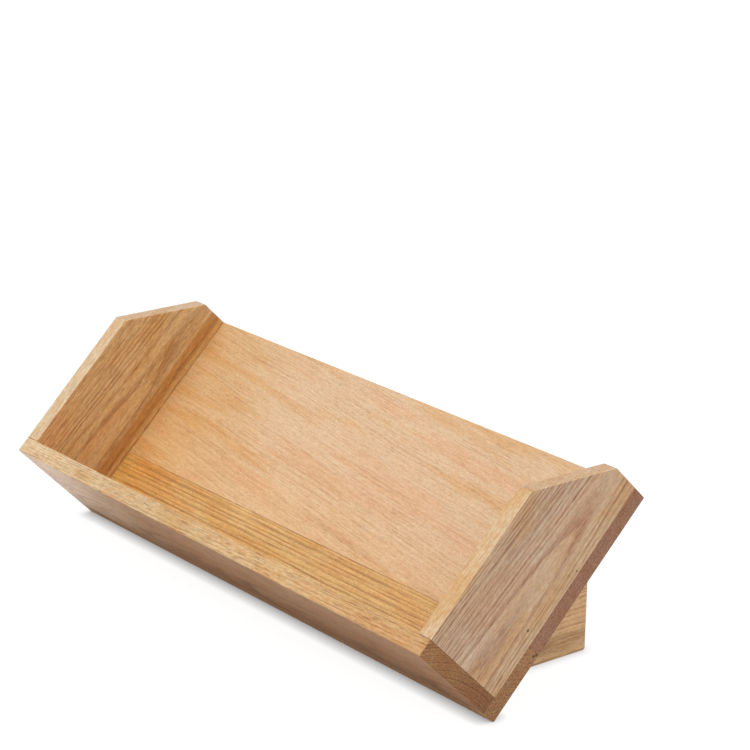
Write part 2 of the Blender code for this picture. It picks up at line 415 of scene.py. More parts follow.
class OakPainter:
    """Draws one oak finish on one board, in the board's own grain frame."""

    # A face counts as an edge, front or rear from the first lean of its normal, and wholly from the second
    EDGE_LEAN, FACE_LEAN = (0.45, 0.65), (0.3, 0.6)
    # It counts wholly as an end from this far beyond end_from
    END_BLEND = 0.14
    # Where most of a noise's values lie, and where those lie that make clusters and spots
    NOISE_SPAN, CLUSTER_SPAN = (0.35, 0.65), (0.42, 0.6)
    # Where the clouds are all ochre, leave the wood its own colour, and are all rose
    OCHRE_AT, PLAIN_FROM, PLAIN_TO, ROSE_AT = 0.36, 0.47, 0.53, 0.64
    GRIT_STRENGTH = 0.28
    BLOTCH_ON_FACES = 0.4
    # How far the ripple bends a ring's line, in rings, and how far the fibres fray it, in millimetres
    RIPPLE, FRAY = 0.5, 0.5
    # Good and poor years: over every three rings or so, up to about one is gained or lost
    YEAR_STEPS, YEAR_SHIFT = 0.35, 2.2
    # The noise over which a line fades and breaks, and what stays of the faintest ring and in a gap
    FADE_SPAN, GAP_SPAN = (0.35, 0.6), (0.38, 0.58)
    FAINTEST_RING, IN_GAP = 0.5, 0.5
    # A pore's core and rim in its cell, its least depth, and how much more it shows on end faces
    PORE_CORE, PORE_RIM = 0.14, 0.34
    PORE_LEAST, PORE_ON_ENDS = 0.25, 1.7
    # How porous a ring is where its pores reach their full strength
    CROWDED = 0.5
    # How dark a fleck is at its core, and where its soft rim ends, in radii
    FLECK_DEPTH, FLECK_RIM = 0.9, 1.6
    # Oiled and wiped wood is dull, and duller in its pores
    SMOOTHEST, DULLEST = 0.46, 0.62
    BUMP_STRENGTH, BUMP_DEPTH = 0.35, 0.15 * MM

    def __init__(self, finish: OakFinish, grain: Matrix, width: float, length: float) -> None:
        """Starts the material and the values that its patterns share.

        Args:
            finish: The oak.
            grain: The board's grain frame in the world: across it, through it and along its grain.
            width: The board's width across the grain, in millimetres.
            length: Its length along the grain, in millimetres.
        """
        self.finish = finish
        self.width = width
        self.length = length
        self.material = bpy.data.materials.new(finish.name)
        self.material.use_nodes = True
        self.graph = graph = Graph(self.material.node_tree)
        in_face, in_edge = (math.radians(angle) for angle in finish.slant)
        self.turn = Matrix.Rotation(in_face, 4, "Y") @ Matrix.Rotation(in_edge, 4, "X")
        turned = grain @ self.turn
        spot = graph.add("TexCoord", {}).outputs["Object"]
        self.place = graph.add("Mapping", {
            "Vector": spot, "Location": turned.translation, "Rotation": turned.to_euler("XYZ"),
            "Scale": (MM, MM, MM)}, vector_type="TEXTURE").outputs[0]
        crosswise, through, lengthwise = (grain.col[number].to_3d() for number in range(3))
        self.edge = self.facing(crosswise, *self.EDGE_LEAN)
        self.end = self.facing(lengthwise, finish.end_from, finish.end_from + self.END_BLEND)
        self.front = self.facing(through, *self.FACE_LEAN, both_ways=False)
        self.rear = self.facing(-through, *self.FACE_LEAN, both_ways=False)
        self.fibre = graph.add("TexNoise", {
            "Vector": self.cells(finish.bundle), "Scale": 1.0, "Detail": 2.0}).outputs["Fac"]
        ripple = graph.add("TexNoise", {
            "Vector": self.cells(finish.ripple), "Scale": 1.0, "Detail": 2.0}).outputs["Color"]
        reach = self.RIPPLE * finish.ring
        self.rippled = graph.add("VectorMath", {
            0: ripple, 1: (reach, reach, 0), 2: self.place}, operation="MULTIPLY_ADD").outputs[0]

    def paint(self) -> bpy.types.Material:
        """Lays the ground colour, then rings, fibres, cut cells, pores and flecks over it.

        Returns:
            The material.
        """
        finish, graph = self.finish, self.graph
        rings = self.rings()
        pores = self.pores(rings)
        colour = self.clouded(self.ground())
        layers = ((self.ring_lines(rings), finish.early), (self.bundles(), finish.early),
                  (self.grit(), finish.early), (self.specks(), finish.pore), (pores, finish.pore))
        for share, code in layers:
            colour = graph.add("Mix", {
                0: share, MIX_A: colour, MIX_B: linear(code)},
                data_type="RGBA", blend_type="MULTIPLY").outputs[MIX_RESULT]
        for fleck in finish.flecks:
            colour = self.fleck(colour, fleck)
        # The planer leaves the pores open under the oil, so they stay sunk and a little duller
        height = graph.add("Math", {0: pores, 1: -1.0, 2: self.fibre}, operation="MULTIPLY_ADD").outputs[0]
        bump = graph.add("Bump", {
            "Strength": self.BUMP_STRENGTH, "Distance": self.BUMP_DEPTH, "Height": height}).outputs[0]
        rough = graph.add("MapRange", {
            "Value": pores, "To Min": self.SMOOTHEST, "To Max": self.DULLEST}).outputs[0]
        graph.feed(graph.tree.nodes["Principled BSDF"], {
            "Base Color": colour, "Roughness": rough, "Normal": bump, "IOR": 1.5,
            "Specular IOR Level": 0.4})
        return self.material

    def cells(self, size: tuple[float, float]) -> Socket:
        """Divides the grain frame into a pattern's cells, at another place in the pattern for each log.

        Args:
            size: The cell's size across and along the grain, in millimetres.

        Returns:
            The place counted in cells.
        """
        across, along = 1 / size[0], 1 / size[1]
        return self.graph.add("VectorMath", {
            0: self.place, 1: (across, across, along), 2: (self.finish.seed, across, along)},
            operation="MULTIPLY_ADD").outputs[0]

    def facing(self, axis: Vector, start: float, whole: float, both_ways: bool = True) -> Socket:
        """Finds how much a face is turned along an axis of the board.

        Args:
            axis: The axis in the world.
            start: How far the face's normal leans along the axis where the share starts.
            whole: How far it leans where the share is whole.
            both_ways: Whether faces turned the other way count too.

        Returns:
            The share, from 0 to 1.
        """
        normal = self.graph.add("TexCoord", {}).outputs["Normal"]
        lean = self.graph.add("VectorMath", {0: normal, 1: axis}, operation="DOT_PRODUCT").outputs["Value"]
        if both_ways:
            lean = self.graph.add("Math", {0: lean}, operation="ABSOLUTE").outputs[0]
        return self.graph.add("MapRange", {"Value": lean, "From Min": start, "From Max": whole}).outputs[0]

    def ring_lines(self, rings: Socket) -> Socket:
        """Finds how strongly the rings show on each kind of face. Edge faces cut them slantwise, softly.

        Args:
            rings: How porous the ring is there.

        Returns:
            The share of the early colour.
        """
        finish, graph = self.finish, self.graph
        strength = graph.add("MapRange", {
            "Value": self.edge, "To Min": finish.ring_strength,
            "To Max": finish.edge_rings * finish.ring_strength}).outputs[0]
        on_ends = graph.add("MapRange", {
            "Value": self.end, "To Min": 1.0, "To Max": finish.end_rings}).outputs[0]
        lines = rings
        for share in (strength, on_ends):
            lines = graph.add("Math", {0: lines, 1: share}, operation="MULTIPLY").outputs[0]
        return lines

    def bundles(self) -> Socket:
        """Finds how dark the bundles of fibres are.

        Returns:
            The share of the early colour.
        """
        low, high = self.NOISE_SPAN
        return self.graph.add("MapRange", {
            "Value": self.fibre, "From Min": low, "From Max": high,
            "To Max": self.finish.bundle_strength}).outputs[0]

    def grit(self) -> Socket:
        """Finds how dark the cut cells are, as a fine grit over all.

        Returns:
            The share of the early colour.
        """
        grains = self.graph.add("TexNoise", {
            "Vector": self.cells(self.finish.grit), "Scale": 1.0, "Detail": 1.0}).outputs["Fac"]
        low, high = self.NOISE_SPAN
        return self.graph.add("MapRange", {
            "Value": grains, "From Min": low, "From Max": high, "To Max": self.GRIT_STRENGTH}).outputs[0]

    def specks(self) -> Socket:
        """Finds how dark the open vessels are on end faces.

        Returns:
            The share of the pore colour.
        """
        clusters = self.graph.add("TexNoise", {
            "Vector": self.cells(self.finish.speck), "Scale": 1.0, "Detail": 2.0}).outputs["Fac"]
        low, high = self.CLUSTER_SPAN
        specks = self.graph.add("MapRange", {
            "Value": clusters, "From Min": low, "From Max": high,
            "To Max": self.finish.speck_strength}).outputs[0]
        return self.graph.add("Math", {0: specks, 1: self.end}, operation="MULTIPLY").outputs[0]

    def fleck(self, colour: Socket, fleck: Fleck) -> Socket:
        """Adds a pin knot or a chip, with a soft rim.

        Args:
            colour: The colour so far.
            fleck: The knot or chip.

        Returns:
            The colour with the fleck in it.
        """
        centre = self.turn.inverted() @ Vector(fleck.place)
        away = self.graph.add("VectorMath", {
            0: self.place, 1: centre}, operation="DISTANCE").outputs["Value"]
        dark = self.graph.add("MapRange", {
            "Value": away, "From Min": fleck.radius, "From Max": fleck.radius * self.FLECK_RIM,
            "To Min": self.FLECK_DEPTH, "To Max": 0.0}).outputs[0]
        return self.graph.add("Mix", {
            0: dark, MIX_A: colour, MIX_B: linear(fleck.tone)}, data_type="RGBA").outputs[MIX_RESULT]

    def from_pith(self) -> Socket:
        """Finds the distance from the pith, as the swaying and drifting grain bends it.

        Returns:
            The distance in millimetres.
        """
        finish, graph = self.finish, self.graph
        # Most of the noise lies within half of its range, so it sways by about waver
        sway = graph.add("TexNoise", {
            "Vector": self.cells(finish.sway), "Scale": 1.0, "Detail": 1.0}).outputs["Color"]
        swayed = graph.add("VectorMath", {
            0: sway, 1: (2 * finish.waver,) * 3, 2: self.rippled}, operation="MULTIPLY_ADD").outputs[0]
        along = graph.add("SeparateXYZ", {0: self.place}).outputs["Z"]
        drift = (-finish.taper[0], -finish.taper[1], 0)
        drifted = graph.add("VectorMath", {
            0: along, 1: drift, 2: swayed}, operation="MULTIPLY_ADD").outputs[0]
        flat = graph.add("VectorMath", {0: drifted, 1: (1, 1, 0)}, operation="MULTIPLY").outputs[0]
        return graph.add("VectorMath", {
            0: flat, 1: (*finish.pith, 0)}, operation="DISTANCE").outputs["Value"]

    def rings(self) -> Socket:
        """Adds the growth rings, whose lines come and go along the board and are broken by their pores.

        Returns:
            How porous the ring is there.
        """
        finish, graph = self.finish, self.graph
        ragged = graph.add("Math", {
            0: self.fibre, 1: self.FRAY, 2: self.from_pith()}, operation="MULTIPLY_ADD").outputs[0]
        years = graph.add("TexNoise", {
            "W": ragged, "Scale": self.YEAR_STEPS / finish.ring, "Detail": 1.0},
            noise_dimensions="1D").outputs["Fac"]
        count = graph.add("Math", {
            0: ragged, 1: 1 / finish.ring, 2: finish.seed + finish.phase},
            operation="MULTIPLY_ADD").outputs[0]
        count = graph.add("Math", {
            0: years, 1: self.YEAR_SHIFT, 2: count}, operation="MULTIPLY_ADD").outputs[0]
        part = graph.add("Math", {0: count}, operation="FRACT").outputs[0]
        number = graph.add("Math", {0: count}, operation="FLOOR").outputs[0]
        porous = graph.add("ValToRGB", {0: part}, stops=RING_PROFILE).outputs["Color"]
        tone = graph.add("TexWhiteNoise", {"W": number}, noise_dimensions="1D").outputs["Value"]
        fading = graph.add("TexNoise", {
            "Vector": self.cells(finish.fading), "Scale": 1.0, "Detail": 1.0}).outputs["Fac"]
        gaps = graph.add("TexNoise", {
            "Vector": self.cells(finish.gap), "Scale": 1.0, "Detail": 2.0}).outputs["Fac"]
        ways = ((tone, (0.0, 1.0), self.FAINTEST_RING), (fading, self.FADE_SPAN, finish.fade),
                (gaps, self.GAP_SPAN, self.IN_GAP))
        for value, (low, high), least in ways:
            share = graph.add("MapRange", {
                "Value": value, "From Min": low, "From Max": high, "To Min": least}).outputs[0]
            porous = graph.add("Math", {0: porous, 1: share}, operation="MULTIPLY").outputs[0]
        return porous

    def pores(self, rings: Socket) -> Socket:
        """Adds the pores: dashes along the grain and dots on end faces, thickest in the earlywood.

        Args:
            rings: How porous the ring is there.

        Returns:
            How much of a pore shows.
        """
        finish, graph = self.finish, self.graph
        across, along = 1 / finish.vessel[0], 1 / finish.vessel[1]
        spread = graph.add("VectorMath", {
            0: self.place, 1: (across, across, along), 2: (finish.seed,) * 3},
            operation="MULTIPLY_ADD").outputs[0]
        cell = graph.add("TexVoronoi", {"Vector": spread, "Scale": 1.0}).outputs
        pore = graph.add("MapRange", {
            "Value": cell["Distance"], "From Min": self.PORE_CORE, "From Max": self.PORE_RIM,
            "To Min": 1.0, "To Max": 0.0}, interpolation_type="SMOOTHSTEP").outputs[0]
        depth = graph.add("MapRange", {"Value": cell["Color"], "To Min": self.PORE_LEAST}).outputs[0]
        crowd = graph.add("MapRange", {
            "Value": rings, "From Max": self.CROWDED, "To Min": finish.pore_spread * finish.pore_strength,
            "To Max": finish.pore_strength}).outputs[0]
        on_ends = graph.add("MapRange", {
            "Value": self.end, "To Min": 1.0, "To Max": self.PORE_ON_ENDS}).outputs[0]
        on_edges = graph.add("MapRange", {
            "Value": self.edge, "To Min": 1.0, "To Max": finish.edge_pores}).outputs[0]
        for share in (depth, crowd, on_ends, on_edges):
            pore = graph.add("Math", {0: pore, 1: share}, operation="MULTIPLY", use_clamp=True).outputs[0]
        return pore

    def ground(self) -> Socket:
        """Adds the wood's ground colour: its tints across and along the board, its edges and its ends.

        Some tints also carry painted shade and painted light, as their finishes say.

        Returns:
            The ground colour.
        """
        finish, graph = self.finish, self.graph
        apart = graph.add("SeparateXYZ", {0: self.rippled}).outputs
        crosswise, lengthwise = (graph.add("MapRange", {
            "Value": apart[axis], "From Min": -size / 2, "From Max": size / 2}).outputs[0]
            for axis, size in (("X", self.width), ("Z", self.length)))
        ramps = ((crosswise, finish.across), (lengthwise, finish.front), (lengthwise, finish.rear),
                 (lengthwise, finish.edge), (crosswise, finish.end))
        colour, front, rear, edge, end = (
            graph.add("ValToRGB", {0: way}, stops=stops).outputs["Color"] for way, stops in ramps)
        for share, tint, blend in ((self.front, front, "MULTIPLY"), (self.rear, rear, "MULTIPLY"),
                                   (self.edge, edge, "MIX"), (self.end, end, "MIX")):
            colour = graph.add("Mix", {
                0: share, MIX_A: colour, MIX_B: tint},
                data_type="RGBA", blend_type=blend).outputs[MIX_RESULT]
        return colour

    def clouded(self, colour: Socket) -> Socket:
        """Lays ochre and rosy clouds over the wood, and blotches, which are strongest on edge faces.

        Args:
            colour: The ground colour.

        Returns:
            The clouded colour.
        """
        finish, graph = self.finish, self.graph
        clouds = graph.add("TexNoise", {
            "Vector": self.cells(finish.cloud), "Scale": 1.0, "Detail": 2.0}).outputs["Fac"]
        ochre, rose = finish.mottle
        mottle = graph.add("ValToRGB", {0: clouds}, stops=(
            (self.OCHRE_AT, ochre), (self.PLAIN_FROM, "#FFFFFF"), (self.PLAIN_TO, "#FFFFFF"),
            (self.ROSE_AT, rose))).outputs["Color"]
        strength = graph.add("MapRange", {"Value": self.edge, "To Min": self.BLOTCH_ON_FACES}).outputs[0]
        spots = graph.add("TexNoise", {
            "Vector": self.cells(finish.blotch_size), "Scale": 1.0, "Detail": 2.0}).outputs["Fac"]
        low, high = self.CLUSTER_SPAN
        blotch = graph.add("MapRange", {"Value": spots, "From Min": low, "From Max": high}).outputs[0]
        blotch = graph.add("Math", {0: blotch, 1: strength}, operation="MULTIPLY").outputs[0]
        for share, tint in ((1.0, mottle), (blotch, linear(finish.blotch))):
            colour = graph.add("Mix", {
                0: share, MIX_A: colour, MIX_B: tint},
                data_type="RGBA", blend_type="MULTIPLY").outputs[MIX_RESULT]
        return colour


@dataclass(frozen=True)
class BirchFinish:
    """Birch pins, turned and left bare: pale, even and dull, with a faint close fleck.

    fleck is the fleck's size and bump how deep it is, in millimetres.
    """

    name: str = "turned_bare_birch"
    pale: str = "#E6CFA6"
    dark: str = "#D6B98C"
    fleck: float = 1.1
    bump: float = 0.05
    bump_strength: float = 0.2
    roughness: float = 0.7

    def make(self) -> bpy.types.Material:
        """Builds the material.

        Returns:
            The material.
        """
        material = bpy.data.materials.new(self.name)
        material.use_nodes = True
        graph = Graph(material.node_tree)
        spot = graph.add("TexCoord", {}).outputs["Object"]
        flecks = graph.add("TexNoise", {
            "Vector": spot, "Scale": 1 / (self.fleck * MM), "Detail": 2.0}).outputs["Fac"]
        colour = graph.add("ValToRGB", {
            0: flecks}, stops=((0.3, self.dark), (0.7, self.pale))).outputs["Color"]
        bump = graph.add("Bump", {
            "Strength": self.bump_strength, "Distance": self.bump * MM, "Height": flecks}).outputs[0]
        graph.feed(graph.tree.nodes["Principled BSDF"], {
            "Base Color": colour, "Normal": bump, "Roughness": self.roughness})
        return material


@dataclass
class Tray:
    """The shelf's main sizes, and the leaning frame that its trough is modelled in."""

    length: float = 482.0 * MM
    thickness: float = 12.7 * MM
    seat_depth: float = 78.5 * MM
    back_top: float = 168.8 * MM
    glue_line: float = 0.3 * MM
    joint: float = 0.1 * MM
    arris: float = 0.8 * MM
    frame: Matrix = field(init=False)

    def __post_init__(self) -> None:
        """Finds the tray's origin from the CAD bottom board, which reaches highest at the origin's edge."""
        _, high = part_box("bottom_board")
        reach = (self.seat_depth - self.glue_line) * math.cos(TILT)
        self.frame = Matrix.Translation((0, high.y - reach, high.z)) @ Matrix.Rotation(-TILT, 4, "X")


@dataclass(frozen=True)
class Board:
    """One board: its blank in the frame it is modelled in, its wood, and the CAD node it stands for."""

    name: str
    node: str
    slot: str
    finish: OakFinish
    sawing: Sawing
    low: Vector
    high: Vector
    frame: Matrix

    def blank(self) -> bpy.types.Object:
        """Adds the squared-up blank."""
        return block(self.name, self.low, self.high)

    def grain(self) -> Matrix:
        """Finds the board's grain frame in the world, unscaled, with its origin at the board's centre."""
        axes = Matrix([Vector(axis) for axis in self.sawing.value]).transposed().to_4x4()
        return self.frame @ Matrix.Translation((self.low + self.high) / 2) @ axes

    def fit(self, obj: bpy.types.Object) -> None:
        """Cleans the shaped board, puts it in its place in the shelf and gives it its oak.

        Args:
            obj: The shaped board, as it was modelled.
        """
        finish_mesh(obj)
        obj.matrix_world = self.frame
        bpy.ops.object.transform_apply(location=True, rotation=True, scale=True)
        width, _, length = (abs(Vector(axis).dot(self.high - self.low)) / MM for axis in self.sawing.value)
        obj.data.materials.clear()
        obj.data.materials.append(OakPainter(self.finish, self.grain(), width, length).paint())
        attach(obj, "root")
        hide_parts(self.node)
        faces = len(obj.data.polygons)
        LOG.info("%s stands for %s: %d faces, %s", obj.name, self.node, faces, self.finish.name)


@dataclass
class Trough:
    """The bottom board and the two boards of the back, which run the shelf's full length."""

    tray: Tray
    seam: float = 40.8 * MM
    edge_ease: float = 1.2 * MM
    sole_ease: float = 1.8 * MM
    fine_arris: float = 0.35 * MM

    def build(self) -> None:
        """Builds and dresses the three boards."""
        tray, fine = self.tray, self.fine_arris
        half, depth, thick, top = tray.length / 2, tray.seat_depth, tray.thickness, tray.back_top
        rear, above = depth + thick, self.seam + tray.joint
        bottom = Board(
            "oak_bottom_board", "bottom_board", "bottom_oak", BOTTOM_OAK, Sawing.FLAT_LENGTHWISE,
            Vector((-half, 0, -thick)), Vector((half, depth - tray.joint, 0)), tray.frame)
        self.plane(bottom, {(0, -thick): self.edge_ease, (0, 0): fine}, (0, -thick))
        lower = Board(
            "oak_back_lower", "back_board_lower", "lower_back_oak", LOWER_BACK_OAK,
            Sawing.UPRIGHT_LENGTHWISE, Vector((-half, depth, -thick)), Vector((half, rear, self.seam)),
            tray.frame)
        self.plane(lower, {(rear, -thick): self.sole_ease, (depth, self.seam): fine / 2}, (rear, -thick))
        upper = Board(
            "oak_back_upper", "back_board_upper", "upper_back_oak", UPPER_BACK_OAK,
            Sawing.UPRIGHT_LENGTHWISE, Vector((-half, depth, above)), Vector((half, rear, top)), tray.frame)
        self.plane(upper, {(rear, top): self.edge_ease, (depth, top): fine, (depth, above): fine / 2},
                   (rear, top))

    def plane(self, board: Board, long_edges: dict[tuple[float, float], float],
              open_sides: tuple[float, float]) -> None:
        """Planes one board square and rounds its edges. At its ends, edges glued flush stay square.

        Args:
            board: The board.
            long_edges: The easing of its long edges, each by its y and z in the tray frame.
            open_sides: The y and the z of the two long faces that nothing is glued to.
        """
        obj = board.blank()
        rules = [(runs_at(y, z), width) for (y, z), width in long_edges.items()]
        open_y, open_z = open_sides
        rules.append((lambda a, b: near(a.x, b.x) and (
            near(a.y, open_y) and near(b.y, open_y) or near(a.z, open_z) and near(b.z, open_z)),
            self.tray.arris))
        ease_together(obj, rules)
        board.fit(obj)


@dataclass
class EndPanels:
    """The two chamfered panels that stand on the bottom board and close the trough's ends."""

    tray: Tray
    finishes: dict[Side, OakFinish]
    chamfer: float = 53.5 * MM
    crest_radius: float = 3.0 * MM
    shoulder_radius: float = 1.5 * MM

    def build(self) -> None:
        """Builds and dresses both panels."""
        for side in Side:
            self.panel(side)

    def panel(self, side: Side) -> None:
        """Saws one panel's chamfer and rounds it.

        Args:
            side: The end that it closes.
        """
        tray = self.tray
        outer = side.value * tray.length / 2
        xs = sorted((outer, outer - side.value * tray.thickness))
        board = Board(
            f"oak_panel_{side.word}", f"end_panel_{side.word}", f"{side.word}_panel_oak",
            self.finishes[side], Sawing.UPRIGHT, Vector((xs[0], 0, tray.joint)),
            Vector((xs[1], tray.seat_depth - tray.joint, tray.back_top)), tray.frame)
        obj = board.blank()
        shoulder = tray.back_top - self.chamfer
        saw(obj, Vector((0, 0, shoulder)), Vector((0, -1, 1)))
        # A rounding draws back by its radius over the tangent of half the corner's angle
        blunt = math.tan(math.radians(135.0 / 2))
        ease(obj, runs_at(self.chamfer, tray.back_top), self.crest_radius / blunt, CORNER_STEPS)
        ease(obj, runs_at(0, shoulder), self.shoulder_radius / blunt, CORNER_STEPS)
        # The edges that are glued to the bottom and the back stay square
        sole, back = tray.joint + tray.arris, tray.seat_depth - tray.joint - tray.arris
        for face in xs:
            ease(obj, lambda a, b: near(a.x, face) and near(b.x, face) and max(a.z, b.z) > sole
                 and min(a.y, b.y) < back, tray.arris)
        board.fit(obj)


@dataclass
class Feet:
    """The two triangular feet behind the back, flat on the table."""

    tray: Tray
    finishes: dict[Side, OakFinish]
    inset: float = 50.5 * MM
    corner_radius: float = 2.0 * MM

    def build(self) -> None:
        """Builds and dresses both feet."""
        for side in Side:
            self.foot(side)

    def foot(self, side: Side) -> None:
        """Saws one foot from a square blank and rounds its corners.

        Args:
            side: The end that it stands near.
        """
        tray = self.tray
        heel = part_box(f"foot_{side.word}")[1].y
        slope = tray.frame @ Vector((0, tray.seat_depth + tray.thickness + tray.joint, tray.back_top))
        height = slope.z + heel - slope.y
        toe = heel - height
        outer = side.value * (tray.length / 2 - self.inset)
        xs = sorted((outer, outer - side.value * tray.thickness))
        board = Board(
            f"oak_foot_{side.word}", f"foot_{side.word}", f"{side.word}_foot_oak", self.finishes[side],
            Sawing.FRONT_TO_BACK, Vector((xs[0], toe, 0)), Vector((xs[1], heel, height)),
            Matrix.Identity(4))
        obj = board.blank()
        saw(obj, slope, Vector((0, -1, 1)))
        # As on the panels, for corners of 45 degrees and a square one
        sharp = math.tan(math.radians(45.0 / 2))
        for y, z, reach in ((toe, 0, 1 / sharp), (heel, 0, 1), (heel, height, 1 / sharp)):
            ease(obj, runs_at(y, z), reach * self.corner_radius, CORNER_STEPS)
        for face in xs:
            ease(obj, lambda a, b: near(a.x, face) and near(b.x, face), tray.arris)
        board.fit(obj)


@dataclass
class Dowels:
    """The twenty birch dowels inside the joints, which keep their CAD shapes."""

    nodes: dict[str, bpy.types.Object]
    finish: BirchFinish = BirchFinish()

    def dress(self) -> None:
        """Gives every dowel its bare birch."""
        birch = self.finish.make()
        for name in sorted(self.nodes):
            if name.startswith("dowel_"):
                self.nodes[name].data.materials.clear()
                self.nodes[name].data.materials.append(birch)
                LOG.info("%s keeps its CAD shape: %s", name, birch.name)


@dataclass
class Studio:
    """A white sweep, two broad soft lamps and the camera.

    The paper lights the shelf from below with its own colour. To the camera
    and in gloss it shows a darker colour under a white glow, which ambient
    occlusion dims near the shelf, so that it is white away from the shelf and
    carries a painted shadow near it, over the real shade in its darker colour.
    The painted shadow is a close one, within painted_shadow_reach, to the
    camera, and a broad one, within painted_gloss_shadow_reach, in gloss, where
    it shades the floor that the shelf's glossy faces reflect. azimuth,
    elevation, roll and lamp_spread are in degrees, and lens is in
    millimetres.
    """

    camera_place: tuple[float, float, float] = (1.4310, -1.0954, 0.7505)
    azimuth: float = 51.126
    elevation: float = 17.874
    roll: float = -0.915
    lens: float = 128.6
    sky: float = 0.62
    top_lamp: float = 1.36
    side_lamp: float = 0.46
    paper: str = "#F4F4F4"
    paper_shown: str = "#6F6F6F"
    glow: float = 0.93
    glow_power: float = 0.5
    # How far the painted shadows reach, where ambient occlusion dims the floor's glow
    painted_shadow_reach: float = 10.0 * MM
    painted_gloss_shadow_reach: float = 150.0 * MM
    floor_size: float = 12.0
    top_lamp_from: tuple[float, float, float] = (0.1, -0.45, 1.0)
    side_lamp_from: tuple[float, float, float] = (1.0, 0.15, 0.6)
    lamp_spread: float = 50.0

    def build(self) -> None:
        """Builds the whole studio."""
        self.world()
        self.floor()
        self.lamps()
        self.camera()
        bpy.context.scene.view_settings.view_transform = "Standard"

    def rays(self, graph: Graph) -> tuple[Socket, Socket]:
        """Finds the rays that show the background.

        Args:
            graph: The world's or the floor's nodes.

        Returns:
            1 for a ray from the camera, and 1 for one that shows the background in gloss or through glass.
        """
        rays = graph.add("LightPath", {}).outputs
        mirrored = graph.add("Math", {
            0: rays["Is Glossy Ray"], 1: rays["Is Transmission Ray"]},
            operation="ADD", use_clamp=True).outputs[0]
        return rays["Is Camera Ray"], mirrored

    def world(self) -> None:
        """Makes an even white world, which shows as white to the camera and in gloss."""
        world = bpy.data.worlds.new("white_room")
        world.use_nodes = True
        bpy.context.scene.world = world
        graph = Graph(world.node_tree)
        graph.tree.nodes.clear()
        direct, mirrored = self.rays(graph)
        seen = graph.add("Math", {0: direct, 1: mirrored}, operation="ADD", use_clamp=True).outputs[0]
        strength = graph.add("MapRange", {"Value": seen, "To Min": self.sky}).outputs[0]
        shown = graph.add("Background", {"Color": (1, 1, 1, 1), "Strength": strength}).outputs[0]
        graph.add("OutputWorld", {"Surface": shown})

    def floor(self) -> None:
        """Lays the white paper, which shows white away from the shelf and keeps a shadow near it.

        The shadow is partly real and partly painted, where ambient occlusion dims the paper's glow.
        """
        deselect_all()
        bpy.ops.mesh.primitive_plane_add(size=self.floor_size)
        table = bpy.context.active_object
        table.name = "white_table"
        material = bpy.data.materials.new("matt_white_paper")
        material.use_nodes = True
        graph = Graph(material.node_tree)
        direct, mirrored = self.rays(graph)
        seen = graph.add("Math", {0: direct, 1: mirrored}, operation="ADD", use_clamp=True).outputs[0]
        colour = graph.add("Mix", {
            0: seen, MIX_A: linear(self.paper), MIX_B: linear(self.paper_shown)},
            data_type="RGBA").outputs[MIX_RESULT]
        # Ambient occlusion dims the glow near the shelf: a painted shadow, close for the camera and broad
        # in gloss
        close, broad = (
            graph.add("AmbientOcclusion", {"Distance": reach}, samples=8).outputs["AO"]
            for reach in (self.painted_shadow_reach, self.painted_gloss_shadow_reach))
        close = graph.add("Math", {0: close, 1: self.glow_power}, operation="POWER").outputs[0]
        glow = 0.0
        for rays, clear in ((direct, close), (mirrored, broad)):
            share = graph.add("Math", {0: rays, 1: clear}, operation="MULTIPLY").outputs[0]
            glow = graph.add("Math", {0: share, 1: self.glow, 2: glow}, operation="MULTIPLY_ADD").outputs[0]
        graph.feed(graph.tree.nodes["Principled BSDF"], {
            "Base Color": colour, "Roughness": 0.9, "Specular IOR Level": 0.0,
            "Emission Color": (1, 1, 1, 1), "Emission Strength": glow})
        table.data.materials.append(material)

    def lamps(self) -> None:
        """Hangs a broad soft lamp above the front and a weaker one to the right."""
        for name, strength, toward in (("top_lamp", self.top_lamp, self.top_lamp_from),
                                       ("side_lamp", self.side_lamp, self.side_lamp_from)):
            light = bpy.data.lights.new(name, "SUN")
            light.energy = strength
            light.angle = math.radians(self.lamp_spread)
            lamp = bpy.data.objects.new(name, light)
            lamp.rotation_euler = Vector(toward).to_track_quat("Z", "Y").to_euler()
            bpy.context.scene.collection.objects.link(lamp)

    def camera(self) -> None:
        """Sets the camera at the viewing angle, slightly rolled."""
        across, rise = math.radians(self.azimuth), math.radians(self.elevation)
        level = math.cos(rise)
        back = Vector((math.sin(across) * level, -math.cos(across) * level, math.sin(rise)))
        right = Vector((math.cos(across), math.sin(across), 0))
        view = Matrix([right, back.cross(right), back]).transposed().to_4x4()
        data = bpy.data.cameras.new("studio_camera")
        data.lens = self.lens
        data.sensor_width = 36.0
        data.clip_start = 0.05
        data.clip_end = 50.0
        camera = bpy.data.objects.new("studio_camera", data)
        camera.matrix_world = Matrix.Translation(self.camera_place) @ view @ Matrix.Rotation(
            math.radians(-self.roll), 4, "Z")
        bpy.context.scene.collection.objects.link(camera)
        bpy.context.scene.camera = camera


